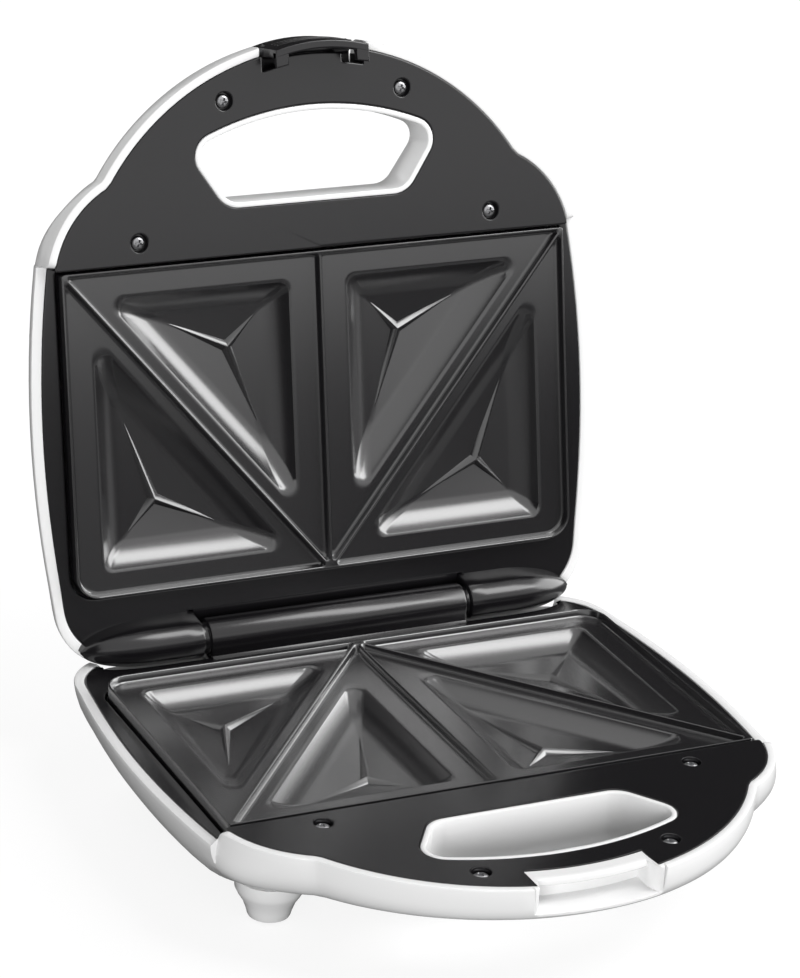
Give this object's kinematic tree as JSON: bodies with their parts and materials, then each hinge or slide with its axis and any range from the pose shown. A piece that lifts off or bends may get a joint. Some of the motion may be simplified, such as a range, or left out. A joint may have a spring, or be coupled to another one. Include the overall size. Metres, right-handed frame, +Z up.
{
  "type": "sandwich toaster",
  "caption": "Clam-shell sandwich toaster with triangular toasting pockets, arched handle halves, a barrel hinge and a swinging latch clip at the lid's tip.",
  "frame": {"origin": "centre of the bounding box at the surface the feet stand on, with the lid open", "axes": "+Z up, -Y towards the handle and the user, X along the hinge; the toaster is symmetric about X = 0 in its main forms"},
  "size_m": [0.2434, 0.294, 0.2743],
  "materials": {
    "white_shell": "moulded gloss white",
    "black_panel": "satin black, fine grain",
    "nonstick_plate": "die-cast aluminium with dark grey non-stick coating",
    "black_screw": "black oxide",
    "steel": "zinc plated",
    "heater_sheath": "dull heating element sheath",
    "tray": "plain aluminised sheet",
    "nylon": "natural nylon",
    "black_bush": "matt black",
    "pad_rubber": "matt dark grey",
    "red_lens": "clear red",
    "green_lens": "clear green",
    "lamp_glass": "clear glass neon"
  },
  "bodies": {
    "base": {"base_shell": "white_shell", "base_panel": "black_panel", "base_plate": "nonstick_plate", "base_panel_screws": "black_screw", "base_plate_screws": "steel", "base_heater": "heater_sheath", "base_reflector": "tray", "base_thermostat": "steel", "base_thermal_fuse": "steel", "terminal_block": "nylon", "cord_bush": "black_bush", "foot_pads": "pad_rubber", "hinge_pins": "steel"},
    "lid": {"lid_shell": "white_shell", "lid_panel": "black_panel", "lid_plate": "nonstick_plate", "lid_panel_screws": "black_screw", "lid_plate_screws": "steel", "lid_heater": "heater_sheath", "lid_reflector": "tray", "lid_thermal_fuse": "steel", "power_lens": "red_lens", "ready_lens": "green_lens", "power_lamp": "lamp_glass", "ready_lamp": "lamp_glass", "latch_pin": "steel"},
    "latch": {"latch_clip": "black_panel"}
  },
  "joints": [
    {"name": "lid_hinge", "type": "hinge", "parent": "base", "child": "lid", "pos_m": [0, 0.08545, 0.0445], "axis": [1, 0, 0], "range_deg": [0, 101.7]},
    {"name": "latch_hinge", "type": "hinge", "parent": "lid", "child": "latch", "pos_m": [0, 0.14001, 0.26604], "axis": [1, 0, 0], "range_deg": [0, 17]}
  ]
}
